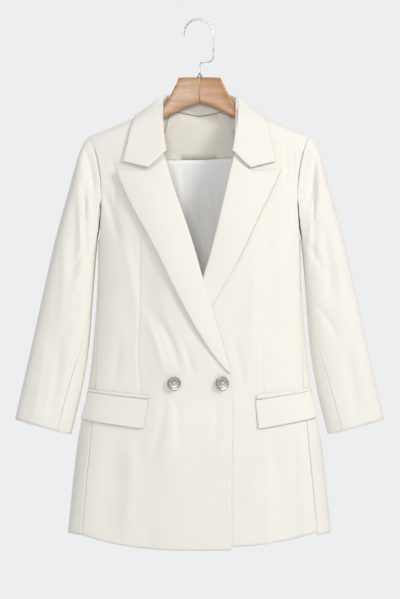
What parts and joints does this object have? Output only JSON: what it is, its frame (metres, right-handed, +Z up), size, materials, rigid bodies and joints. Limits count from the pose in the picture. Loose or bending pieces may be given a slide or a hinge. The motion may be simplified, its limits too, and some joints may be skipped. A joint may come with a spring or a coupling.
{
  "type": "double breasted blazer on a wooden hanger",
  "caption": "Woven double breasted blazer with peak lapels, flap pockets and three quarter sleeves, hanging on a wooden hanger with a steel hook.",
  "frame": {"origin": "inside top of the hanger's hook, where a rod or wall hook carries it", "axes": "+Z up; the front of the blazer faces -Y; the wearer's left is at +X"},
  "size_m": [0.6454, 0.13, 0.9234],
  "materials": {
    "cloth": "off-white woven suiting, matt, with a fine crepe-like weave",
    "lining": "pale smooth lining with a faint sheen",
    "facing": "the shell cloth turned inside, cream and matt",
    "wood_light": "pale honey wood, satin lacquer",
    "wood_dark": "warmer honey wood, satin lacquer",
    "steel": "polished plated steel wire",
    "setting": "polished silver-coloured metal set with small stones",
    "crystal": "clear cut glass stone"
  },
  "bodies": {
    "root": {"front_right": "cloth", "front_left": "cloth", "back_right": "cloth", "back_left": "cloth", "side_right": "cloth", "side_left": "cloth", "lapel_right": "cloth", "lapel_left": "cloth", "collar": "cloth", "neck_facing": "facing", "back_lining": "lining", "sleeve_top_right": "cloth", "sleeve_under_right": "cloth", "welt_right": "cloth", "flap_right": "cloth", "sleeve_top_left": "cloth", "sleeve_under_left": "cloth", "welt_left": "cloth", "flap_left": "cloth", "button_outer": "setting", "button_outer_stone": "crystal", "button_edge": "setting", "button_edge_stone": "crystal", "hanger_arm_right": "wood_light", "hanger_arm_left": "wood_dark", "hanger_ferrule": "steel", "hanger_hook": "steel"}
  },
  "joints": []
}
